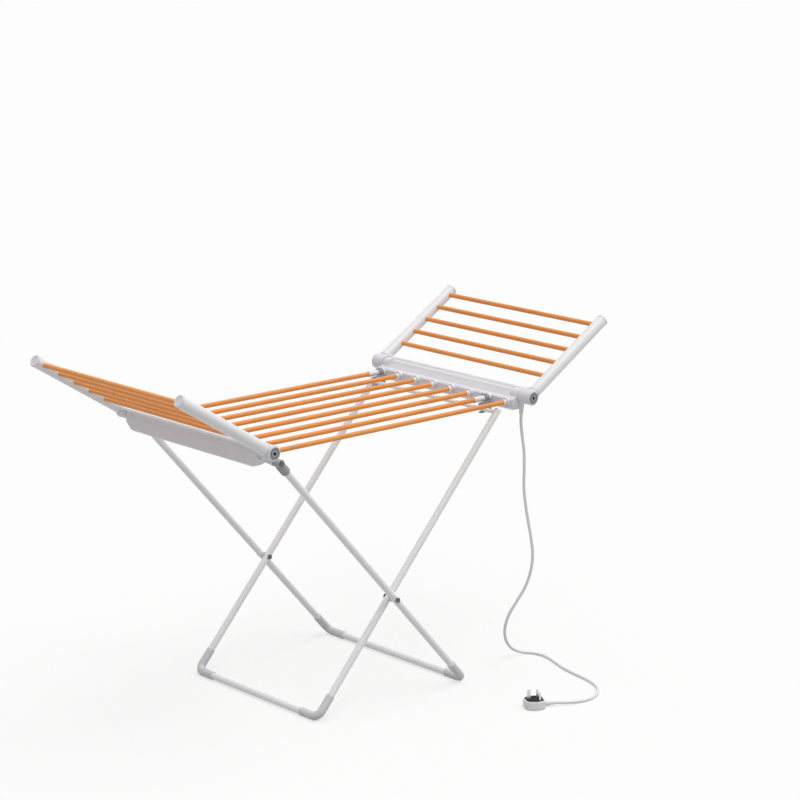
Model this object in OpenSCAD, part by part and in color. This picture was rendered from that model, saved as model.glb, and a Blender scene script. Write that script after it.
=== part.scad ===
// Heated clothes airer with two folding wings on crossed, folding leg frames.
// Frame: origin on the floor under the middle of the deck, +X along the deck to the mains-lead end,
// +Y to the far side, +Z up. All lengths are in millimetres.

/* [Deck] */
// Distance between the two wing hinge axes
hinge_span = 760; // [640:10:900]
// Height of the wing hinge axes above the floor
hinge_z = 645; // [560:5:800]
// Distance between neighbouring deck bars
deck_pitch = 61; // [56:1:62]
// Drop from the hinge axis to the deck bar axes
deck_drop = 13; // [13:0.5:15]

/* [Bars] */
// Outer diameter of a heated bar
bar_d = 11; // [9:0.5:12]
// Wall of a heated bar
bar_wall = 1; // [0.8:0.1:1.5]
// Diameter of the silicone heating cable inside a bar
heater_d = 6; // [4:0.5:6]
// Diameter of the thin stay bar of a wing
stay_d = 8; // [6:0.5:8]
// Outer diameter of the ferrule on a deck bar's end
ferrule_d = 14; // [13.5:0.5:15]
// Length of a short ferrule that shows in front of a housing
ferrule_show = 14; // [10:1:20]
// Length of a long ferrule, which carries a leg clip
ferrule_long_show = 47; // [46:1:60]

/* [Housing] */
// Reach of a housing inward from the hinge axis
housing_in = 30; // [28:1:34]
// Reach of a housing outward from the hinge axis
housing_out = 16; // [14:1:17]
// Depth of a housing's underside below the hinge axis
housing_depth = 37; // [35:1:42]
// Wall of a housing
housing_wall = 2.5; // [2:0.1:3]
// Distance from the outermost deck bars' axes to the housing's ends
bar_margin = 18.5; // [18:0.5:20]
// Length of each solid end block that holds a hinge screw
end_block = 24; // [22:1:28]

/* [Wings] */
// Length of a wing from the hinge axis to the tip
wing_len = 280; // [270:1:320]
// Distance between neighbouring wing bars
wing_pitch = 46.5; // [46:0.5:48]
// Distance from the hinge axis to the first heated wing bar
wing_bar_from = 73; // [71:1:76]
// Distance from the hinge axis to the stay bar
stay_r = 21.5; // [21.5:0.5:23]
// Angle of both wings above level as pictured
wing_angle = 32; // [0:1:60]
// Outer diameter of an arm
arm_d = 27; // [25:0.5:29]
// Wall of an arm
arm_wall = 2; // [1.5:0.1:2.5]
// Outer diameter of a hinge knuckle
knuckle_d = 34; // [33:0.5:36]
// Width of a hinge knuckle along the hinge axis
knuckle_w = 36.4; // [35:0.2:40]

/* [Legs] */
// Outer diameter of a leg tube
leg_d = 16; // [14:0.5:16]
// Wall of a leg tube
leg_wall = 1; // [0.8:0.1:1.5]
// Distance from the hinge axis inward to the outer legs' pivot
pivot_in = 36.5; // [35:0.5:38]
// Drop from the hinge axis to the outer legs' pivot and the inner legs' top rod
pivot_drop = 33; // [33:0.5:36]
// Distance from the hinge axis inward to the clipped top rod
rod_in = 62.5; // [61:0.5:65]
// Diameter of the top rod
rod_d = 10; // [8:0.5:10]
// Distance from the deck's middle to the outer legs' floor bar
foot_x = 195; // [150:5:240]
// Distance from a housing's end outward to the outer leg's axis
leg_beyond = 4; // [4:0.5:6]
// Gap between an outer and an inner leg where they cross
cross_gap = 6.5; // [6:0.5:8]
// Bend radius of a foot elbow
elbow_r = 18; // [16:1:24]
// Wall of a foot elbow over the tube
elbow_wall = 1.5; // [1.2:0.1:2.5]

/* [Mains lead] */
// Diameter of the mains lead
cord_d = 7; // [6:0.5:7]
// Width of the plug
plug_w = 50; // [46:1:54]
// Thickness of the plug without its pins
plug_t = 20; // [18:1:24]

/* [Hidden] */
$fn = 48;
eps = 0.01;

// Clearances
fit = 0.05;       // radial running fit of a pin in its bore
seat = 0.02;      // radial clearance of a fixed piece in its seat
loose = 0.3;      // gap between pieces that move past each other
plug_fit = 0.2;   // clearance of a moulded plug in its tube

// Colours
orange = [0.89, 0.55, 0.28];
shell = [0.83, 0.83, 0.88];
clip_grey = [0.62, 0.62, 0.64];
cap_grey = [0.45, 0.45, 0.47];
white = [0.93, 0.93, 0.94];
silver = [0.80, 0.81, 0.83];
foot_grey = [0.78, 0.78, 0.80];
grip_grey = [0.50, 0.50, 0.51];
lead_grey = [0.84, 0.84, 0.85];
copper = [0.72, 0.45, 0.30];

// Deck
bar_count = 8;
hinge_x = hinge_span / 2;
deck_z = hinge_z - deck_drop;
first_bar_y = (bar_count - 1) / 2 * deck_pitch;
bar_r = bar_d / 2;
bar_bore_r = bar_r - bar_wall;
ferrule_r = ferrule_d / 2;
ferrule_tail = 6;                                  // length of a ferrule behind the housing's face
deck_bar_half = hinge_x - housing_in + ferrule_tail + 2;
long_ferrule_bars = [0, 6];                        // bar numbers, from 0 at the far side
heater_sink = bar_bore_r - heater_d / 2 - plug_fit; // the cable lies at the bottom of its bore
heater_tail = 6;

// Housing section, measured from the hinge axis: u inward is negative, v up is positive
bevel = 4;
inner_edge_depth = 25;
slope_start = 8;
crown_r = 12;                                      // rounded ridge over the hinge axis
crown_at = [2.5, 1];
housing_outline = [
  [-housing_in, -inner_edge_depth], [-housing_in, -7], [-housing_in + bevel, -4],
  [-19, -3.4], [-5.4, 9.35], [14.2, -1.4], [housing_out, -6],
  [housing_out, -(housing_depth - bevel)], [housing_out - bevel, -housing_depth],
  [-slope_start, -housing_depth], [-(housing_in - bevel), -(inner_edge_depth + bevel)]
];
split_from = -20;                                  // where the seam starts to rise
split_out = 7;                                     // depth of the seam at the outer face
notch_r = ferrule_r + plug_fit;
hood_wall = 3;
hood_len = 5;
housing_len = 2 * (first_bar_y + bar_margin);
block_y = housing_len / 2 - end_block;
cover_half = block_y - loose;
end_slope_rise = 20;
boss_r = 15.5;
wire_d = 6;
pocket_end = deck_bar_half + heater_tail + 2 * wire_d - hinge_x;
wire_u = pocket_end - wire_d;
wire_v = -deck_drop - heater_sink;

// Hinge
screw_r = 4;
head_r = 13;
head_t = 5.6;
knuckle_gap = 1.6;
knuckle_in = housing_len / 2 + knuckle_gap;
knuckle_out = knuckle_in + knuckle_w;
knuckle_bevel = 2.5;
hex_r = 3.5;
hex_depth = 3;

// Wings
rim = 0.4;                                         // how far collars and caps stand proud of an arm
arm_y = knuckle_out - arm_d / 2 - rim;             // distance of an arm's middle from the deck's middle
arm_face = arm_y - arm_d / 2;
arm_root = 22;
collar_len = 4;
cap_t = 4;
cap_plug = 7;
cap_bevel = 1.2;
wing_bar_half = arm_face + arm_wall + 1.5;
wing_bars = 5;
spigot_len = 36;
lobe_r = stay_d / 2 + 2.5;                         // lobe of a knuckle that holds the stay bar's end
stay_half = knuckle_in + 6.5;

// Legs
pivot_x = hinge_x - pivot_in;
rod_x = hinge_x - rod_in;
leg_r = leg_d / 2;
outer_half_w = housing_len / 2 + leg_beyond;       // half width of each leg frame, to its tube axes
inner_half_w = outer_half_w - leg_d - cross_gap;
elbow_out_r = leg_r + elbow_wall;
foot_flat = 0.5;
foot_z = elbow_out_r - foot_flat;
pivot_z = hinge_z - pivot_drop;
leg_rise = pivot_z - foot_z;
leg_run = foot_x + pivot_x;
leg_len = sqrt(leg_rise * leg_rise + leg_run * leg_run);
leg_tilt = atan2(leg_run, leg_rise);
inner_foot_x = rod_x - leg_run;
cross_s = leg_len * (1 - (rod_x + pivot_x) / 2 / leg_run);
elbow_floor_len = 38;
elbow_leg_len = 38;
tube_start = elbow_r + 1.2;
pin_r = 4;
eye_r = 9;
grip_r = leg_r + 1.8;
eye_half = grip_r + 0.4;
grip_len = 28;
grip_from = 4;
ridge_h = 0.8;
grip_socket = leg_len - grip_from - 12;            // where an outer leg's tube ends in its sleeve
lug_t = 5.2;
lug_in = outer_half_w - eye_half - loose - lug_t;   // inner face of a leg lug
pin_head_r = 5.5;
pin_head_t = 3;
leg_over = 7;                                      // length of an inner leg above its top rod
plug_below = 12;
plug_disc = 1.5;
plug_taper = 0.6;
rod_sink = 3;
rod_r = rod_d / 2;
rivet_r = 3;
rivet_head_r = 6;
rivet_head_t = 2.4;

// Leg clips
clip_ring_r = ferrule_r + 3;
clip_ring_len = 10;
clip_end = hinge_x - housing_in - hood_len - 1;
clip_from = rod_x - rod_r - 4;
clip_shift = rod_r + 9;
clip_t = 6;
clip_lip = 3.6;
clip_gap = 0.4;
clip_corner = 3;
clip_eye_r = 2;                                    // relief hole above the slot
clip_eye_up = 4.5;

// Mains lead: where it leaves the housing, and the plug's place on the floor
gland_u = 6;
gland_y = -(housing_len / 2 - 8);
gland_r = 6.5;
gland_top = 14;
gland_low = 33;
relief_len = 14;
cord_r = cord_d / 2;
cord_exit = [hinge_x + gland_u, gland_y, hinge_z - gland_low - relief_len];
plug_at = [216, -478];
plug_turn = 150;
plug_cord_z = 8;
plug_relief = 25;
plug_len = 46;
plug_recess = 0.8;
plug_rim = 3.2;
plug_corners = [[7, 7, 5], [20, 12, 0], [plug_len - 16, 16, 2]];  // each pair: place, radius, step in from the width
pin_line_x = 13;
pin_pitch = 22.2;
pin_t = 4;
pin_len = 17.7;
earth_pin_len = 22.7;
cord_end = [plug_at[0] - plug_relief * cos(plug_turn), plug_at[1] - plug_relief * sin(plug_turn), plug_cord_z];
// The lead's route, chosen by hand: down from the exit, then along the floor to the plug
cord_route = [
  cord_exit, [386, -224, 578], [388, -226, 548], [391, -230, 510], [391, -231, 468], [391, -231, 424],
  [394, -234, 384], [399, -238, 344], [404, -243, 304], [407, -246, 264], [404, -243, 224],
  [395, -235, 186], [380, -222, 150], [366, -210, 116], [362, -202, 82], [374, -194, 50],
  [398, -188, 24], [427, -188, 8], [450, -204, 3.5], [457, -234, 3.5], [450, -268, 3.5],
  [437, -304, 3.5], [424, -346, 3.5], [416, -388, 3.5], [408, -432, 3.5], [391, -473, 3.5],
  [361, -503, 3.5], [325, -518, 3.5], [290, -514, 4], [262, -504, 6], cord_end
];
cord_sides = 8;
cord_steps = 2;

function unit(v) = v / norm(v);
// A closed clockwise outline moved inward by a wall
function inset(p, wall) = [for (i = [0 : len(p) - 1]) let (
  before = unit(p[i] - p[(i + len(p) - 1) % len(p)]), after = unit(p[(i + 1) % len(p)] - p[i]),
  n1 = [before[1], -before[0]], n2 = [after[1], -after[0]])
  p[i] + wall / (1 + n1 * n2) * (n1 + n2)];
// Point at t on the smooth curve from b to c, with a and d as the points beyond them
function smooth(a, b, c, d, t) =
  0.5 * (2 * b + (c - a) * t + (2 * a - 5 * b + 4 * c - d) * t * t + (3 * b - a - 3 * c + d) * t * t * t);
function route_at(r, i, t) = smooth(
  i > 0 ? r[i - 1] : 2 * r[0] - r[1], r[i], r[i + 1],
  i < len(r) - 2 ? r[i + 2] : 2 * r[i + 1] - r[i], t);
function route_points(r) = concat(
  [for (i = [0 : len(r) - 2], k = [0 : cord_steps - 1]) route_at(r, i, k / cord_steps)], [r[len(r) - 1]]);
function headings(p, first, last) = [for (i = [0 : len(p) - 1])
  i == 0 ? first : i == len(p) - 1 ? last : unit(p[i + 1] - p[i - 1])];
// One side vector per ring, each carried over from the ring before it without twist
function side_vectors(h, start) = [
  for (i = 0, s = start; i < len(h); i = i + 1,
    s = i < len(h) ? unit(s - (s * h[i]) * h[i]) : s) s];
function ring(p, h, s, r) = [for (k = [0 : cord_sides - 1])
  p + r * cos(360 * k / cord_sides) * s + r * sin(360 * k / cord_sides) * cross(h, s)];

// A rod along Y between two places, at (x, z)
module rod_y(r, y0, y1, x = 0, z = 0) {
  translate([x, y1, z]) rotate([90, 0, 0]) cylinder(r = r, h = y1 - y0);
}

// A rod along X between two places, at (y, z)
module rod_x_dir(r, x0, x1, y = 0, z = 0) {
  translate([x0, y, z]) rotate([0, 90, 0]) cylinder(r = r, h = x1 - x0);
}

// A section drawn in X and Z, drawn out along Y
module along_y(y0, y1) {
  translate([0, y1, 0]) rotate([90, 0, 0]) linear_extrude(height = y1 - y0) children();
}

module at_hinge(side) {
  if (side > 0) translate([hinge_x, 0, hinge_z]) children();
  else mirror([1, 0, 0]) translate([hinge_x, 0, hinge_z]) children();
}

module both_y() {
  children();
  mirror([0, 1, 0]) children();
}

// A housing's whole section, or its cavity when a wall is given
module housing_section(wall = 0) {
  polygon(wall > 0 ? inset(housing_outline, wall) : housing_outline);
  translate(crown_at) circle(r = crown_r - wall);
}

// Everything below the seam between base and cover
module below_seam() {
  rise = (deck_drop - split_out) / (housing_out - split_from);
  polygon([
    [-housing_in - 1, -deck_drop], [split_from, -deck_drop],
    [housing_out + 1, -split_out + rise], [housing_out + 1, -housing_depth - 1],
    [-housing_in - 1, -housing_depth - 1]
  ]);
}

// At each deck bar, leaving out the skipped number at both sides
module bar_places(skip = 0) {
  for (i = [skip : bar_count - 1 - skip]) translate([0, first_bar_y - i * deck_pitch, 0]) children();
}

// A collar or hood round a deck bar where it enters a housing
module bar_hood(y) {
  rod_x_dir(notch_r + hood_wall, -housing_in - hood_len, -housing_in + bevel, y, -deck_drop);
}

// The lower tray of a housing, with its solid end blocks and hinge bosses
module housing_base(side) {
  color(shell) at_hinge(side) {
    difference() {
      union() {
        along_y(-block_y - eps, block_y + eps) intersection() {
          housing_section();
          below_seam();
        }
        both_y() difference() {
          along_y(block_y, housing_len / 2) {
            housing_section();
            circle(r = boss_r);
          }
          // The underside of the end rises to the hinge
          rotate([90, 0, 90]) translate([0, 0, -housing_in - 1]) linear_extrude(height = 2 * housing_in + 2)
            polygon([
              [block_y + 2, -housing_depth - 1], [housing_len / 2 + 1, -housing_depth - 1],
              [housing_len / 2 + 1, -housing_depth + end_slope_rise]
            ]);
        }
        // Collars round the outermost bars, which enter the end blocks
        both_y() difference() {
          bar_hood(first_bar_y);
          translate([-housing_in, 0, -deck_drop]) cube([bevel + 1, block_y, ferrule_d]);
        }
      }
      along_y(-block_y, block_y) housing_section(housing_wall);
      bar_places() rod_x_dir(notch_r, -housing_in - hood_len - 1, pocket_end, 0, -deck_drop);
      both_y() rod_y(screw_r + seat, block_y - 1, housing_len / 2 + 1);
      if (side > 0) translate([gland_u, gland_y, -housing_depth - 1])
        cylinder(r = gland_r + seat, h = housing_depth + 1 - gland_top);
    }
    if (side < 0) both_y() leg_lug();
  }
}

// A lug under the end of the left housing, which carries an outer leg's pivot
module leg_lug() {
  px = pivot_x - hinge_x;
  difference() {
    along_y(lug_in, lug_in + lug_t) {
      translate([px, -pivot_drop]) circle(r = eye_r);
      polygon([
        [px - 2, -pivot_drop + eye_r - 0.4], [-housing_in + 2, -deck_drop - ferrule_r - 2],
        [-slope_start, -deck_drop - 4], [-slope_start + 3, -housing_depth + 12], [px + 4, -pivot_drop - eye_r + 1.2]
      ]);
    }
    rod_y(pin_r + seat, lug_in - 1, lug_in + lug_t + 1, px, -pivot_drop);
  }
}

// The upper shell of a housing, hooded over each ferrule
module housing_cover(side) {
  color(shell) at_hinge(side) difference() {
    union() {
      along_y(-cover_half, cover_half) difference() {
        housing_section();
        below_seam();
      }
      bar_places(1) intersection() {
        bar_hood(0);
        translate([-housing_in - hood_len, -deck_pitch / 2, -deck_drop])
          cube([hood_len + bevel, deck_pitch, deck_pitch]);
      }
    }
    along_y(-cover_half + housing_wall, cover_half - housing_wall) housing_section(housing_wall);
    bar_places() rod_x_dir(notch_r, -housing_in - hood_len - 1, -housing_in + ferrule_tail + 1, 0, -deck_drop);
    rod_y(wire_d / 2 + plug_fit, -first_bar_y - 4, first_bar_y + 4, wire_u, wire_v);
  }
}

module deck_bar(i) {
  color(orange) difference() {
    rod_x_dir(bar_r, -deck_bar_half, deck_bar_half, first_bar_y - i * deck_pitch, deck_z);
    rod_x_dir(bar_bore_r, -deck_bar_half - 1, deck_bar_half + 1, first_bar_y - i * deck_pitch, deck_z);
  }
}

// One ferrule on a bar's end at the +X housing; show is the length in front of the housing
module ferrule(i, show) {
  face = hinge_x - housing_in;
  y = first_bar_y - i * deck_pitch;
  difference() {
    rod_x_dir(ferrule_r, face - show, face + ferrule_tail, y, deck_z);
    rod_x_dir(bar_r + seat, face - show - 1, face + ferrule_tail + 1, y, deck_z);
  }
}

module left_ferrules() {
  color(white) mirror([1, 0, 0]) for (i = [0 : bar_count - 1]) ferrule(i, ferrule_show);
}

module right_ferrules() {
  color(white) for (i = [0 : bar_count - 1])
    ferrule(i, search(i, long_ferrule_bars) == [] ? ferrule_show : ferrule_long_show);
}

// A clip on a long ferrule: a ring, and beside it a hooked plate open to -X for the top rod
module leg_clip(i) {
  y = first_bar_y - i * deck_pitch;
  ring_from = clip_end - clip_ring_len;
  difference() {
    union() {
      rod_x_dir(clip_ring_r, ring_from, clip_end, y, deck_z);
      translate([ring_from, y - clip_shift, deck_z - clip_ring_r + 1])
        cube([clip_ring_len, clip_shift, clip_ring_r / 2]);
      translate([0, y - clip_shift, 0]) along_y(-clip_t / 2, clip_t / 2) clip_plate();
    }
    rod_x_dir(ferrule_r + seat, ring_from - 1, clip_end + 1, y, deck_z);
  }
}

module clip_plate() {
  slot_r = rod_r + clip_gap;
  low = pivot_z - slot_r - clip_lip;
  top = deck_z - clip_ring_r / 2;
  difference() {
    union() {
      translate([clip_from + clip_corner, low]) square([clip_end - clip_from - 2 * clip_corner, top - low]);
      translate([clip_from, low + clip_corner]) square([clip_end - clip_from, top - low - clip_corner]);
      for (x = [clip_from + clip_corner, clip_end - clip_corner])
        translate([x, low + clip_corner]) circle(r = clip_corner);
    }
    translate([rod_x, pivot_z]) circle(r = slot_r);
    translate([clip_from - 1, pivot_z - slot_r]) square([rod_x - clip_from + 1, 2 * slot_r]);
    translate([rod_x + clip_eye_r, pivot_z + slot_r + clip_eye_up]) circle(r = clip_eye_r);
  }
}

module leg_clips() {
  color(clip_grey) for (i = long_ferrule_bars) leg_clip(i);
}

module leg_pivot_pins() {
  color(silver) both_y() {
    rod_y(pin_r, lug_in - pin_head_t, outer_half_w + eye_half + loose, -pivot_x, pivot_z);
    rod_y(pin_head_r, lug_in - pin_head_t, lug_in - seat, -pivot_x, pivot_z);
    rod_y(pin_head_r, outer_half_w + eye_half + loose, outer_half_w + eye_half + loose + pin_head_t, -pivot_x, pivot_z);
  }
}

module hinge_screws() {
  color(cap_grey) for (x = [-hinge_x, hinge_x]) both_y() difference() {
    union() {
      rod_y(screw_r, block_y, knuckle_out - head_t, x, hinge_z);
      rod_y(head_r, knuckle_out - head_t, knuckle_out, x, hinge_z);
    }
    translate([x, knuckle_out + 1, hinge_z]) rotate([90, 0, 0]) cylinder(r = hex_r, h = hex_depth + 1, $fn = 6);
    translate([x, 0, hinge_z]) difference() {
      rod_y(head_r - 3, knuckle_out - 0.6, knuckle_out + 1);
      rod_y(head_r - 4, knuckle_out - 0.7, knuckle_out + 1);
    }
  }
}

// Wiring along a housing, with one crimped end behind each bar
module wiring(side) {
  color(copper) at_hinge(side) {
    rod_y(wire_d / 2, -first_bar_y - 3, first_bar_y + 3, wire_u, wire_v);
    bar_places() rod_x_dir(heater_d / 2 - 0.5, wire_u - wire_d, wire_u, 0, wire_v);
  }
}

module deck_heaters() {
  color(silver) bar_places()
    rod_x_dir(heater_d / 2, -deck_bar_half - heater_tail, deck_bar_half + heater_tail, 0, deck_z - heater_sink);
}

// A stretch of arm along local X, at the near or far side; toward is -1 for the near side
module arm_piece(x0, x1, toward, inset = 0) {
  rod_x_dir(arm_d / 2 - inset, x0, x1, toward * arm_y);
}

// Everything of a wing is drawn level along local +X and then raised to its pictured angle
module wing_frame(side) {
  at_hinge(side) rotate([0, -wing_angle, 0]) children();
}

function wing_bar_r(i) = wing_bar_from + (wing_bars - 1 - i) * wing_pitch;

module wing_arm(side, toward) {
  color(white) wing_frame(side) difference() {
    arm_piece(arm_root, wing_len - cap_t, toward);
    arm_piece(arm_root - 1, wing_len - cap_t + 1, toward, arm_wall);
    mirror([0, toward < 0 ? 1 : 0, 0]) for (i = [0 : wing_bars - 1])
      rod_y(bar_r + seat, arm_face - 1, arm_y - arm_d / 4, wing_bar_r(i));
  }
}

module wing_bar(side, i) {
  color(orange) wing_frame(side) difference() {
    rod_y(bar_r, -wing_bar_half, wing_bar_half, wing_bar_r(i));
    rod_y(bar_bore_r, -wing_bar_half - 1, wing_bar_half + 1, wing_bar_r(i));
  }
}

module stay_bar(side) {
  color(white) wing_frame(side) rod_y(stay_d / 2, -stay_half, stay_half, stay_r);
}

module wing_heaters(side) {
  color(silver) wing_frame(side) for (i = [0 : wing_bars - 1])
    rod_y(heater_d / 2, -wing_bar_half - 4, wing_bar_half + 4, wing_bar_r(i), -heater_sink);
}

// A knuckle turns on its screw; it carries the arm on a collar and spigot, and the stay bar in a lobe
module wing_knuckles(side) {
  color(shell) wing_frame(side) both_y() difference() {
    union() {
      rod_y(knuckle_d / 2, knuckle_in, knuckle_out - knuckle_bevel);
      translate([0, knuckle_out, 0]) rotate([90, 0, 0])
        cylinder(r1 = knuckle_d / 2 - knuckle_bevel, r2 = knuckle_d / 2, h = knuckle_bevel + eps);
      arm_piece(0, arm_root - eps, 1);
      arm_piece(arm_root - collar_len, arm_root - eps, 1, -rim);
      arm_piece(arm_root - collar_len, arm_root + spigot_len, 1, arm_wall + plug_fit);
      rod_y(lobe_r, knuckle_in, arm_face - loose, stay_r);
    }
    rod_y(screw_r + fit, knuckle_in - 1, knuckle_out + 1);
    rod_y(head_r + loose, knuckle_out - head_t - loose, knuckle_out + 1);
    rod_y(stay_d / 2 + seat, knuckle_in - 1, stay_half + seat, stay_r);
  }
}

// A cap closes each arm's tip, with a shallow dish in its face
module wing_tip_caps(side) {
  color(shell) wing_frame(side) for (s = [-1, 1]) difference() {
    union() {
      arm_piece(wing_len - cap_t, wing_len - cap_bevel, s, -rim);
      translate([wing_len - cap_bevel - eps, s * arm_y, 0]) rotate([0, 90, 0])
        cylinder(r1 = arm_d / 2 + rim, r2 = arm_d / 2 + rim - cap_bevel, h = cap_bevel + eps);
      arm_piece(wing_len - cap_t - cap_plug, wing_len - cap_t + eps, s, arm_wall + plug_fit);
    }
    arm_piece(wing_len - cap_bevel / 2, wing_len + 1, s, cap_t);
  }
}

// Everything of a leg frame is drawn upright over its floor bar and then tilted
module outer_frame() {
  translate([foot_x, 0, foot_z]) rotate([0, -leg_tilt, 0]) children();
}

module inner_frame() {
  translate([inner_foot_x, 0, foot_z]) rotate([0, leg_tilt, 0]) children();
}

module leg_tube(half_w, top, toward, hole_r) {
  translate([0, toward * half_w, 0]) difference() {
    translate([0, 0, tube_start]) cylinder(r = leg_r, h = top - tube_start);
    translate([0, 0, tube_start - 1]) cylinder(r = leg_r - leg_wall, h = top - tube_start + 2);
    rod_y(hole_r, -leg_r - 1, leg_r + 1, 0, cross_s);
  }
}

module outer_leg(toward) {
  color(white) outer_frame() leg_tube(outer_half_w, grip_socket - plug_fit, toward, rivet_r + seat);
}

// An inner leg, with a hole in its inner side for the top rod
module inner_leg(toward) {
  color(white) inner_frame() difference() {
    leg_tube(inner_half_w, leg_len + leg_over, toward, rivet_r + fit);
    mirror([0, toward < 0 ? 1 : 0, 0])
      rod_y(rod_r + seat, inner_half_w - leg_r - 1, inner_half_w, 0, leg_len);
  }
}

module floor_bar(half_w) {
  half = half_w - tube_start;
  color(white) difference() {
    rod_y(leg_r, -half, half);
    rod_y(leg_r - leg_wall, -half - 1, half + 1);
  }
}

// A moulded elbow over the corner of a leg frame
module elbow(half_w) {
  difference() {
    union() {
      translate([0, half_w - elbow_r, elbow_r]) rotate([90, 0, 90]) rotate([0, 0, -90])
        rotate_extrude(angle = 90) translate([elbow_r, 0]) circle(r = elbow_out_r);
      rod_y(elbow_out_r, half_w - elbow_r - elbow_floor_len, half_w - elbow_r);
      translate([0, half_w, elbow_r]) cylinder(r = elbow_out_r, h = elbow_leg_len);
    }
    rod_y(leg_r + seat, half_w - elbow_r - elbow_floor_len - 1, half_w - elbow_r - 1);
    translate([0, half_w, elbow_r + 1]) cylinder(r = leg_r + seat, h = elbow_leg_len);
  }
}

// Cuts the flat that a foot stands on
module stand_flat() {
  difference() {
    children();
    translate([-hinge_span, -hinge_span, -elbow_out_r]) cube([2 * hinge_span, 2 * hinge_span, elbow_out_r]);
  }
}

module outer_feet() {
  color(foot_grey) stand_flat() outer_frame() both_y() elbow(outer_half_w);
}

module inner_feet() {
  color(foot_grey) stand_flat() inner_frame() both_y() elbow(inner_half_w);
}

// Ridged sleeves on the outer legs' tops, each with the eye that turns on a pivot pin
module outer_knuckles() {
  top = leg_len - grip_from;
  low = top - grip_len;
  color(grip_grey) outer_frame() both_y() difference() {
    union() {
      translate([0, outer_half_w, low]) cylinder(r = grip_r, h = grip_len);
      for (k = [0 : 3]) translate([0, outer_half_w, low + 2 + 6 * k]) cylinder(r = grip_r + ridge_h, h = 3);
      rod_y(eye_r, outer_half_w - eye_half, outer_half_w + eye_half, 0, leg_len);
    }
    translate([0, outer_half_w, low - 1]) cylinder(r = leg_r + seat, h = grip_socket - low + 1);
    rod_y(pin_r + fit, outer_half_w - eye_half - 1, outer_half_w + eye_half + 1, 0, leg_len);
  }
}

module cross_rivets() {
  color(grip_grey) outer_frame() both_y() {
    rod_y(rivet_r, inner_half_w - leg_r - loose, outer_half_w + leg_r, 0, cross_s);
    rod_y(rivet_head_r, outer_half_w + leg_r, outer_half_w + leg_r + rivet_head_t, 0, cross_s);
    rod_y(rivet_head_r, inner_half_w - leg_r - loose - rivet_head_t, inner_half_w - leg_r - loose, 0, cross_s);
  }
}

module cross_spacers() {
  color(foot_grey) outer_frame() both_y() difference() {
    rod_y(leg_r - 0.5, inner_half_w + leg_r + loose, outer_half_w - leg_r, 0, cross_s);
    rod_y(rivet_r + seat, inner_half_w, outer_half_w, 0, cross_s);
  }
}

module inner_top_rod() {
  half = inner_half_w + rod_sink;
  color(white) inner_frame() rod_y(rod_r, -half, half, 0, leg_len);
}

// A plug in each inner leg's top holds the rod's end and closes the tube
module inner_top_caps() {
  color(white) inner_frame() both_y() difference() {
    union() {
      translate([0, inner_half_w, leg_len - plug_below])
        cylinder(r = leg_r - leg_wall - plug_fit, h = plug_below + leg_over + eps);
      translate([0, inner_half_w, leg_len + leg_over]) cylinder(r1 = leg_r, r2 = leg_r - plug_taper, h = plug_disc);
    }
    rod_y(rod_r + seat, inner_half_w - leg_r, inner_half_w + rod_sink + seat, 0, leg_len);
  }
}

// The grommet of the mains lead, with its ribbed, tapering strain relief
module cord_gland() {
  top = hinge_z - gland_top - 0.5;
  low = hinge_z - gland_low;
  color(lead_grey) translate([hinge_x + gland_u, gland_y, 0]) {
    translate([0, 0, low + 4]) cylinder(r = gland_r, h = top - low - 4);
    translate([0, 0, low]) cylinder(r = gland_r - 0.5, h = 4 + eps);
    translate([0, 0, low - relief_len]) cylinder(r1 = cord_r + 0.6, r2 = gland_r - 1.2, h = relief_len + eps);
    for (k = [1 : 3]) translate([0, 0, low - k * 4]) cylinder(r = gland_r - 0.6 - 0.45 * k, h = 1.6);
  }
}

module cord() {
  p = route_points(cord_route);
  h = headings(p, [0, 0, -1], [cos(plug_turn), sin(plug_turn), 0]);
  s = side_vectors(h, [1, 0, 0]);
  n = len(p);
  rings = [for (i = [0 : n - 1]) each ring(p[i], h[i], s[i], cord_r)];
  walls = [for (i = [0 : n - 2], k = [0 : cord_sides - 1]) let (
    a = i * cord_sides + k, b = i * cord_sides + (k + 1) % cord_sides)
    each [[a, a + cord_sides, b + cord_sides], [a, b + cord_sides, b]]];
  ends = [[for (k = [0 : cord_sides - 1]) k], [for (k = [cord_sides - 1 : -1 : 0]) (n - 1) * cord_sides + k]];
  color(lead_grey) polyhedron(points = rings, faces = concat(walls, ends), convexity = 10);
}

module plug_frame() {
  translate([plug_at[0], plug_at[1], 0]) rotate([0, 0, plug_turn]) children();
}

// The plug's outline seen from its pins, with the lead entering at x = 0
module plug_outline(inset) {
  hull() for (c = plug_corners, s = [-1, 1])
    translate([c[0], s * (plug_w / 2 - c[1] - c[2])]) circle(r = c[1] - inset, $fn = 32);
}

module plug_body() {
  color(lead_grey) plug_frame() {
    difference() {
      union() {
        linear_extrude(height = 3) plug_outline(1.5);
        translate([0, 0, 3 - eps]) linear_extrude(height = plug_t - 5) plug_outline(0);
        translate([0, 0, plug_t - 2 - 2 * eps]) linear_extrude(height = 2 + 2 * eps) plug_outline(1.2);
      }
      translate([0, 0, plug_t - plug_recess]) linear_extrude(height = 1) plug_outline(plug_rim);
    }
    translate([-plug_relief, 0, plug_cord_z]) rotate([0, 90, 0])
      cylinder(r1 = cord_r + 0.5, r2 = cord_r + 3, h = plug_relief + 4);
    for (k = [1 : 4]) translate([-plug_relief + 5 * k, 0, plug_cord_z]) rotate([0, 90, 0])
      cylinder(r = cord_r + 0.9 + 0.5 * k, h = 2);
  }
}

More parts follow.
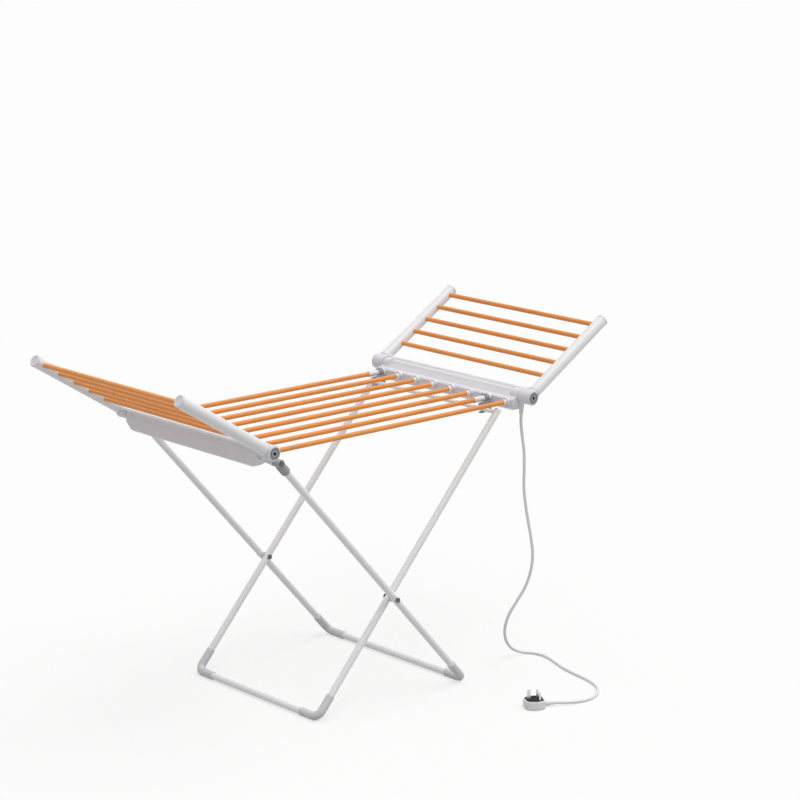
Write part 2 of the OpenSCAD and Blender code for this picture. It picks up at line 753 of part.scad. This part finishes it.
module plug_pins() {
  color(silver) plug_frame() translate([0, 0, plug_t - plug_recess]) {
    for (s = [-1, 1]) translate([pin_line_x - pin_t / 2, s * pin_pitch / 2 - 0.8 * pin_t, 0])
      cube([pin_t, 1.6 * pin_t, pin_len]);
    translate([pin_line_x + pin_pitch - pin_t, -pin_t / 2, 0]) cube([2 * pin_t, pin_t, earth_pin_len]);
  }
}

housing_base(-1);  // left_housing_base
housing_cover(-1);  // left_housing_cover
housing_base(1);  // right_housing_base
housing_cover(1);  // right_housing_cover
for (i = [0 : bar_count - 1])
  deck_bar(i);
left_ferrules();
right_ferrules();
leg_clips();
leg_pivot_pins();
hinge_screws();
cord_gland();
cord();
plug_body();
plug_pins();
wiring(-1);  // left_wiring
wiring(1);  // right_wiring
deck_heaters();
wing_arm(-1, -1);  // left_arm_near
wing_arm(-1, 1);  // left_arm_far
wing_knuckles(-1);  // left_knuckles
wing_tip_caps(-1);  // left_tip_caps
for (i = [0 : wing_bars - 1])
  wing_bar(-1, i);
stay_bar(-1);  // left_stay_bar
wing_heaters(-1);  // left_wing_heaters
wing_arm(1, -1);  // right_arm_near
wing_arm(1, 1);  // right_arm_far
wing_knuckles(1);  // right_knuckles
wing_tip_caps(1);  // right_tip_caps
for (i = [0 : wing_bars - 1])
  wing_bar(1, i);
stay_bar(1);  // right_stay_bar
wing_heaters(1);  // right_wing_heaters
outer_leg(-1);  // outer_leg_near
outer_leg(1);  // outer_leg_far
outer_frame() floor_bar(outer_half_w);  // outer_floor_bar
outer_feet();
outer_knuckles();
cross_rivets();
cross_spacers();
inner_leg(-1);  // inner_leg_near
inner_leg(1);  // inner_leg_far
inner_frame() floor_bar(inner_half_w);  // inner_floor_bar
inner_feet();
inner_top_rod();
inner_top_caps();
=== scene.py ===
"""Looks of the heated clothes airer: camera, mains lead, finishes, fillets, floor and light.

Lengths are in metres, unless a comment says otherwise.
"""

import math

import bpy
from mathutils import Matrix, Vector


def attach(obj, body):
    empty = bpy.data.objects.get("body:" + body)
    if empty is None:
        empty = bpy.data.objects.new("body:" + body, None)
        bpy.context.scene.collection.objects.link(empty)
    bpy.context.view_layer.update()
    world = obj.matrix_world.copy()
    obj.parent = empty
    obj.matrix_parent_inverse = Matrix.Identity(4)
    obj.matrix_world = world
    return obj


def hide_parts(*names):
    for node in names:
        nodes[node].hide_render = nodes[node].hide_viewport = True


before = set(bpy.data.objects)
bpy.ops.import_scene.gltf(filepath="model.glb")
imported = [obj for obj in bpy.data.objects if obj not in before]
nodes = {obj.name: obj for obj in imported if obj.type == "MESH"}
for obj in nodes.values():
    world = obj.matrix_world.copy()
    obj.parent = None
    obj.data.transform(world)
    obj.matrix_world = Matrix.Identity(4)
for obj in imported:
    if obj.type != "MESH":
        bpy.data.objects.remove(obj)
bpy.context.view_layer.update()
MM = 0.001

# Camera, at the photograph's place and viewing angle. The lens and the sensor are in millimetres
CAMERA_AT = Vector((-3.68, -4.325, 1.986))
CAMERA_AIM = Vector((0.556, 0.380, 0.5))
CAMERA_LENS = 116.4
SENSOR_WIDTH = 36
FARTHEST_SEEN = 200


def make_camera():
    data = bpy.data.cameras.new("camera")
    data.lens = CAMERA_LENS
    data.sensor_width = SENSOR_WIDTH
    data.clip_end = FARTHEST_SEEN
    camera = bpy.data.objects.new("camera", data)
    bpy.context.scene.collection.objects.link(camera)
    camera.location = CAMERA_AT
    camera.rotation_mode = "QUATERNION"
    camera.rotation_quaternion = (CAMERA_AIM - CAMERA_AT).to_track_quat("-Z", "Y")
    bpy.context.scene.camera = camera


make_camera()

# Mains lead, on the route that its solid follows. The route's points are in millimetres
CORD_DIAMETER = 7 * MM
CORD_ROUTE = [
    (386, -224, 598), (386, -224, 578), (388, -226, 548), (391, -230, 510), (391, -231, 468),
    (391, -231, 424), (394, -234, 384), (399, -238, 344), (404, -243, 304), (407, -246, 264),
    (404, -243, 224), (395, -235, 186), (380, -222, 150), (366, -210, 116), (362, -202, 82),
    (374, -194, 50), (398, -188, 24), (427, -188, 8), (450, -204, 3.5), (457, -234, 3.5),
    (450, -268, 3.5), (437, -304, 3.5), (424, -346, 3.5), (416, -388, 3.5), (408, -432, 3.5),
    (391, -473, 3.5), (361, -503, 3.5), (325, -518, 3.5), (290, -514, 4), (262, -504, 6),
    (237.65, -490.5, 8),
]
PROFILE_RADIUS = 1
PROFILE_STEPS = 5
STEPS_PER_POINT = 8


def smooth_curve(name, points, diameter):
    """A round tube along one smooth curve through the points.

    Each point scales the profile to the tube's own radius. The curve's box reaches as far past the
    points as that scale says, and with a scale of 1 it would be a metre too large all round.
    """
    data = bpy.data.curves.new(name, "CURVE")
    data.dimensions = "3D"
    data.bevel_depth = PROFILE_RADIUS
    data.bevel_resolution = PROFILE_STEPS
    data.resolution_u = STEPS_PER_POINT
    data.use_fill_caps = True
    spline = data.splines.new("BEZIER")
    spline.bezier_points.add(len(points) - 1)
    before = [2 * points[0] - points[1], *points[:-1]]
    after = [*points[1:], 2 * points[-1] - points[-2]]
    for place, point, last, following in zip(spline.bezier_points, points, before, after):
        slope = (following - last) / 2
        place.co = point
        place.radius = diameter / 2 / PROFILE_RADIUS
        place.handle_left = point - slope / 3
        place.handle_right = point + slope / 3
    piece = bpy.data.objects.new(name, data)
    bpy.context.scene.collection.objects.link(piece)
    return piece


def make_cord():
    route = [Vector(point) * MM for point in CORD_ROUTE]
    cord = smooth_curve("mains_lead", route, CORD_DIAMETER)
    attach(cord, "deck")
    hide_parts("cord")
    return cord


cord = make_cord()

# Finishes. Noise keeps mostly between these two values, so they are mapped to its full effect
NOISE_LOW = 0.3
NOISE_HIGH = 0.7
PLAIN_SPECULAR = 0.5
WHITE = (1, 1, 1, 1)


def linear(red, green, blue):
    """An sRGB colour, given as 0 to 255, as a linear colour. The numbers are the standard's."""
    def channel(value):
        share = value / 255
        return share / 12.92 if share <= 0.04045 else ((share + 0.055) / 1.055) ** 2.4
    return (channel(red), channel(green), channel(blue), 1)


class Finish:
    """A procedural material: a principled shader fed by noise in the piece's own coordinates."""

    def __init__(self, name, roughness, metallic=0, coat=0, coat_roughness=0.1,
                 specular=PLAIN_SPECULAR):
        self.material = bpy.data.materials.new(name)
        self.material.use_nodes = True
        self.tree = self.material.node_tree
        self.shader = self.tree.nodes["Principled BSDF"]
        self.shader.inputs["Roughness"].default_value = roughness
        self.shader.inputs["Metallic"].default_value = metallic
        self.shader.inputs["Coat Weight"].default_value = coat
        self.shader.inputs["Coat Roughness"].default_value = coat_roughness
        self.shader.inputs["Specular IOR Level"].default_value = specular
        self.place = self.tree.nodes.new("ShaderNodeTexCoord")
        self.normal = None

    def link(self, output, socket):
        self.tree.links.new(output, socket)

    def noise(self, scale, detail=2):
        noise = self.tree.nodes.new("ShaderNodeTexNoise")
        noise.inputs["Scale"].default_value = scale
        noise.inputs["Detail"].default_value = detail
        self.link(self.place.outputs["Object"], noise.inputs["Vector"])
        return noise.outputs["Fac"]

    def mottled(self, colour, spread, scale):
        """A base colour that drifts by spread either way."""
        ramp = self.tree.nodes.new("ShaderNodeValToRGB")
        dark, light = ramp.color_ramp.elements
        dark.position = NOISE_LOW
        dark.color = (*(channel * (1 - spread) for channel in colour[:3]), 1)
        light.position = NOISE_HIGH
        light.color = (*(min(1, channel * (1 + spread)) for channel in colour[:3]), 1)
        self.link(self.noise(scale, detail=3), ramp.inputs["Fac"])
        self.link(ramp.outputs["Color"], self.shader.inputs["Base Color"])
        return self

    def rough(self, low, high, scale):
        """A roughness that varies from low to high."""
        spread = self.tree.nodes.new("ShaderNodeMapRange")
        spread.inputs["From Min"].default_value = NOISE_LOW
        spread.inputs["From Max"].default_value = NOISE_HIGH
        spread.inputs["To Min"].default_value = low
        spread.inputs["To Max"].default_value = high
        self.link(self.noise(scale), spread.inputs["Value"])
        self.link(spread.outputs["Result"], self.shader.inputs["Roughness"])
        return self

    def bump(self, scale, depth, strength=1):
        """A relief of that depth, added to those before it."""
        bump = self.tree.nodes.new("ShaderNodeBump")
        bump.inputs["Strength"].default_value = strength
        bump.inputs["Distance"].default_value = depth
        self.link(self.noise(scale), bump.inputs["Height"])
        if self.normal:
            self.link(self.normal, bump.inputs["Normal"])
        self.normal = bump.outputs["Normal"]
        self.link(self.normal, self.shader.inputs["Normal"])
        return self

    def math(self, operation, *values):
        """The result of a math node on sockets or plain numbers."""
        node = self.tree.nodes.new("ShaderNodeMath")
        node.operation = operation
        for value, socket in zip(values, node.inputs):
            if isinstance(value, (int, float)):
                socket.default_value = value
            else:
                self.link(value, socket)
        return node.outputs["Value"]

    def axes(self, vector=None):
        """The three parts of a vector, or of the place in the piece's own coordinates."""
        split = self.tree.nodes.new("ShaderNodeSeparateXYZ")
        self.link(vector or self.place.outputs["Object"], split.inputs["Vector"])
        return split.outputs["X"], split.outputs["Y"], split.outputs["Z"]

    def tint(self, mask, colour):
        """The base colour gives way to another where the mask is 1."""
        base = self.shader.inputs["Base Color"]
        before = base.links[0].from_socket
        mix = self.tree.nodes.new("ShaderNodeMix")
        mix.data_type = "RGBA"
        self.link(mask, mix.inputs["Factor"])
        self.link(before, mix.inputs["A"])
        mix.inputs["B"].default_value = colour
        self.link(mix.outputs["Result"], base)


def orange_coat(name, colour):
    """Satin powder coat: orange-peel relief and a slight drift in tone."""
    finish = Finish(name, roughness=0.34, specular=0.25)
    finish.mottled(colour, spread=0.05, scale=9)
    finish.rough(low=0.30, high=0.40, scale=160)
    finish.bump(scale=700, depth=0.06 * MM)
    finish.bump(scale=2600, depth=0.01 * MM)
    return finish.material


def white_coat(name, colour, roughness, coat):
    """Smooth white paint on metal tube."""
    finish = Finish(name, roughness, coat=coat, coat_roughness=0.14)
    finish.mottled(colour, spread=0.012, scale=7)
    finish.rough(low=roughness - 0.03, high=roughness + 0.03, scale=40)
    finish.bump(scale=60, depth=0.02 * MM, strength=0.5)
    return finish.material


def moulded(name, colour, roughness):
    """Moulded plastic with a fine eroded grain and faint flow marks."""
    finish = Finish(name, roughness)
    finish.mottled(colour, spread=0.02, scale=14)
    finish.rough(low=roughness - 0.06, high=roughness + 0.06, scale=90)
    finish.bump(scale=30, depth=0.1 * MM, strength=0.4)
    finish.bump(scale=2200, depth=0.05 * MM)
    return finish.material


def gloss_plastic(name, colour):
    """Polished moulding under a clear skin."""
    finish = Finish(name, roughness=0.2, coat=0.3, coat_roughness=0.06)
    finish.mottled(colour, spread=0.015, scale=25)
    finish.rough(low=0.16, high=0.26, scale=140)
    finish.bump(scale=350, depth=0.03 * MM)
    return finish.material


def soft_skin(name, colour):
    """What the sleeves and the plug have in common: soft plastic with a low sheen."""
    finish = Finish(name, roughness=0.38)
    finish.mottled(colour, spread=0.02, scale=18)
    finish.rough(low=0.32, high=0.46, scale=70)
    return finish


def soft_pvc(name, colour):
    """Smooth flexible sleeve, slightly wavy."""
    finish = soft_skin(name, colour)
    finish.bump(scale=160, depth=0.08 * MM, strength=0.6)
    finish.bump(scale=1500, depth=0.02 * MM)
    return finish.material


def zinc_steel(name, colour, roughness):
    """Plated steel with a fine crystalline drift in tone and gloss."""
    finish = Finish(name, roughness, metallic=1)
    finish.mottled(colour, spread=0.08, scale=260)
    finish.rough(low=roughness - 0.1, high=roughness + 0.1, scale=600)
    finish.bump(scale=900, depth=0.02 * MM)
    return finish.material


# Screw caps: where the hinge axes are, the sizes of the marks round them, and the painted shade of
# their sockets
HINGE_X = 0.38
HINGE_Z = 0.645
SOCKET_RADIUS = 3.7 * MM
RING_RADIUS = 9.5 * MM
RING_HALF_WIDTH = 0.7 * MM
# Painted shade: the near-black colour that stands in for the shade inside each socket's recess
SOCKET_SHADE_COLOUR = linear(14, 14, 15)
RING_COLOUR = linear(84, 84, 90)


def screw_cap(name, colour):
    """A darker ring round a socket painted near black as the shade in its recess, measured from
    the nearest hinge axis.
    """
    finish = Finish(name, roughness=0.35)
    finish.mottled(colour, spread=0.02, scale=14)
    finish.rough(low=0.28, high=0.42, scale=90)
    x, _, z = finish.axes()
    across = finish.math("SUBTRACT", finish.math("ABSOLUTE", x), HINGE_X)
    up = finish.math("SUBTRACT", z, HINGE_Z)
    squares = finish.math("ADD", finish.math("MULTIPLY", across, across),
                          finish.math("MULTIPLY", up, up))
    radius = finish.math("SQRT", squares)
    # Painted shade: within the socket radius the colour is near black, as the recess's shade
    finish.tint(finish.math("LESS_THAN", radius, SOCKET_RADIUS), SOCKET_SHADE_COLOUR)
    finish.tint(finish.math("COMPARE", radius, RING_RADIUS, RING_HALF_WIDTH), RING_COLOUR)
    finish.bump(scale=2200, depth=0.03 * MM)
    return finish.material


# Plug: the height of its sunken pin face, and how that face is told from the rest
PIN_FACE_Z = 19.2 * MM
PIN_FACE_SLACK = 0.2 * MM
FACES_UP = 0.9
PIN_FACE_COLOUR = linear(20, 20, 22)
PIN_FACE_SPECULAR = 0.05


def plug_shell(name, colour):
    """Pale moulding whose sunken pin face is near black and matt."""
    finish = soft_skin(name, colour)
    geometry = finish.tree.nodes.new("ShaderNodeNewGeometry")
    upward = finish.axes(geometry.outputs["True Normal"])[2]
    level = finish.math("COMPARE", finish.axes()[2], PIN_FACE_Z, PIN_FACE_SLACK)
    face = finish.math("MULTIPLY", level, finish.math("GREATER_THAN", upward, FACES_UP))
    finish.tint(face, PIN_FACE_COLOUR)
    loss = finish.math("MULTIPLY", face, PLAIN_SPECULAR - PIN_FACE_SPECULAR)
    finish.link(finish.math("SUBTRACT", PLAIN_SPECULAR, loss),
                finish.shader.inputs["Specular IOR Level"])
    finish.bump(scale=1500, depth=0.02 * MM)
    return finish.material


FINISHES = {
    "heated_bar": orange_coat("orange_coat", linear(251, 163, 84)),
    "housing": moulded("pale_housing", linear(236, 235, 241), roughness=0.42),
    "arm": white_coat("arm_paint", linear(250, 250, 251), roughness=0.36, coat=0.15),
    "ferrule": gloss_plastic("ferrule_gloss", linear(240, 240, 243)),
    "clip": moulded("clip_grey", linear(150, 150, 156), roughness=0.45),
    "screw": screw_cap("screw_cap_grey", linear(168, 168, 175)),
    "pin": zinc_steel("zinc_pin", linear(108, 108, 112), roughness=0.35),
    "knuckle_grip": moulded("ridged_grip_grey", linear(176, 176, 180), roughness=0.45),
    "lead": soft_pvc("lead_pvc", linear(242, 242, 243)),
    "plug": plug_shell("plug_moulding", linear(244, 244, 244)),
    "plug_pin": zinc_steel("plated_pins", linear(214, 214, 216), roughness=0.3),
    "foot": moulded("foot_grey", linear(220, 220, 223), roughness=0.4),
    "leg_tube": white_coat("leg_paint", linear(247, 247, 248), roughness=0.24, coat=0.9),
    "heating_cable": soft_pvc("silicone_sleeve", linear(205, 200, 196)),
    "wiring": soft_pvc("wiring_sleeve", linear(196, 150, 130)),
}

# Finish of each CAD node, by how its name starts
FINISH_BY_START = {
    "deck_bar": "heated_bar", "deck_heaters": "heating_cable",
    "leg_clips": "clip", "leg_pivot_pins": "pin", "hinge_screws": "screw",
    "cord": "lead", "plug_body": "plug", "plug_pins": "plug_pin",
    "outer_leg": "leg_tube", "outer_floor_bar": "leg_tube", "outer_feet": "foot",
    "outer_knuckles": "knuckle_grip", "cross_rivets": "pin", "cross_spacers": "foot",
    "inner_leg": "leg_tube", "inner_floor_bar": "leg_tube", "inner_top": "leg_tube",
    "inner_feet": "foot",
}
FINISH_BY_SIDE = {
    "housing": "housing", "ferrules": "ferrule", "wiring": "wiring", "arm": "arm",
    "knuckles": "housing", "tip_caps": "housing", "stay_bar": "arm",
    "wing_bar": "heated_bar", "wing_heaters": "heating_cable",
}
for side in ("left", "right"):
    for start, finish_name in FINISH_BY_SIDE.items():
        FINISH_BY_START[f"{side}_{start}"] = finish_name


def node_finish(name):
    """The finish whose start fits the name. No name has two of them."""
    return next(FINISH_BY_START[start] for start in FINISH_BY_START if name.startswith(start))


def dress(piece, finish_name):
    piece.data.materials.clear()
    piece.data.materials.append(FINISHES[finish_name])


dress(cord, "lead")
for name, node in nodes.items():
    dress(node, node_finish(name))

# Crisp moulded edges: small fillets on the solids, made by modifiers
FILLET_WIDTHS = {
    "left_housing_base": 0.4 * MM, "left_housing_cover": 0.4 * MM,
    "right_housing_base": 0.4 * MM, "right_housing_cover": 0.4 * MM,
    "left_knuckles": 0.5 * MM, "right_knuckles": 0.5 * MM,
}
FILLET_SEGMENTS = 3
SHARPEST_LEFT = math.radians(28)
SAME_POINT = 0.01 * MM


def soften(node, width):
    """Joins the corners that faces share, and rounds the edges sharper than SHARPEST_LEFT."""
    weld = node.modifiers.new("join_faces", "WELD")
    weld.merge_threshold = SAME_POINT
    bevel = node.modifiers.new("fillet", "BEVEL")
    bevel.width = width
    bevel.segments = FILLET_SEGMENTS
    bevel.limit_method = "ANGLE"
    bevel.angle_limit = SHARPEST_LEFT
    bevel.use_clamp_overlap = False


for name, width in FILLET_WIDTHS.items():
    soften(nodes[name], width)

# Floor, light and background
FLOOR_HALF = 60
GROUND_GAP = 0.2 * MM


def seen_or_mirrored(tree):
    """1 for rays that show the background: seen, mirrored or through glass."""
    path = tree.nodes.new("ShaderNodeLightPath")
    value = path.outputs["Is Camera Ray"]
    for kind in ("Is Glossy Ray", "Is Transmission Ray"):
        either = tree.nodes.new("ShaderNodeMath")
        either.operation = "MAXIMUM"
        tree.links.new(value, either.inputs[0])
        tree.links.new(path.outputs[kind], either.inputs[1])
        value = either.outputs["Value"]
    return value


def mixed(tree, factor, first, second, surface):
    """Links first, or second where the factor is 1, to the surface socket."""
    mix = tree.nodes.new("ShaderNodeMixShader")
    tree.links.new(factor, mix.inputs[0])
    tree.links.new(first, mix.inputs[1])
    tree.links.new(second, mix.inputs[2])
    tree.links.new(mix.outputs["Shader"], surface)


def make_floor(bounce, glow):
    """A plain white floor.

    It returns only the share bounce of the light to the undersides. Where it is seen, the share
    glow of its white is its own light, which keeps the shadows faint.
    """
    corners = [(-1, -1), (1, -1), (1, 1), (-1, 1)]
    places = [(x * FLOOR_HALF, y * FLOOR_HALF, -GROUND_GAP) for x, y in corners]
    data = bpy.data.meshes.new("floor")
    data.from_pydata(places, [], [(0, 1, 2, 3)])
    floor = bpy.data.objects.new("floor", data)
    bpy.context.scene.collection.objects.link(floor)
    finish = Finish("floor_white", roughness=0.7, specular=0)
    finish.mottled((bounce, bounce, bounce, 1), spread=0.01, scale=1.5)
    shown = seen_or_mirrored(finish.tree)
    finish.tint(shown, WHITE)
    white = finish.tree.nodes.new("ShaderNodeEmission")
    mixed(finish.tree, finish.math("MULTIPLY", shown, glow), finish.shader.outputs["BSDF"],
          white.outputs["Emission"], finish.tree.nodes["Material Output"].inputs["Surface"])
    data.materials.append(finish.material)


def make_world(level):
    """A sky that lights at the level given, and shows white where it is seen or mirrored."""
    world = bpy.data.worlds.new("studio")
    world.use_nodes = True
    tree = world.node_tree
    tree.nodes.clear()

    def white_sky(strength):
        sky = tree.nodes.new("ShaderNodeBackground")
        sky.inputs["Color"].default_value = WHITE
        sky.inputs["Strength"].default_value = strength
        return sky.outputs["Background"]

    output = tree.nodes.new("ShaderNodeOutputWorld")
    mixed(tree, seen_or_mirrored(tree), white_sky(level), white_sky(1), output.inputs["Surface"])
    bpy.context.scene.world = world


def make_sun(name, strength, toward, angle):
    """A soft distant lamp that shines from the direction toward. The angle is its width."""
    data = bpy.data.lights.new(name, "SUN")
    data.energy = strength
    data.angle = math.radians(angle)
    lamp = bpy.data.objects.new(name, data)
    bpy.context.scene.collection.objects.link(lamp)
    lamp.rotation_mode = "QUATERNION"
    lamp.rotation_quaternion = Vector(toward).to_track_quat("Z", "Y")


make_floor(bounce=0.46, glow=0.62)
make_world(level=0.48)
make_sun("key", strength=1.2, toward=(0.35, -0.15, 1), angle=50)
make_sun("gleam", strength=0.42, toward=(-0.2, -0.5, 1), angle=20)
bpy.context.scene.view_settings.view_transform = "Standard"
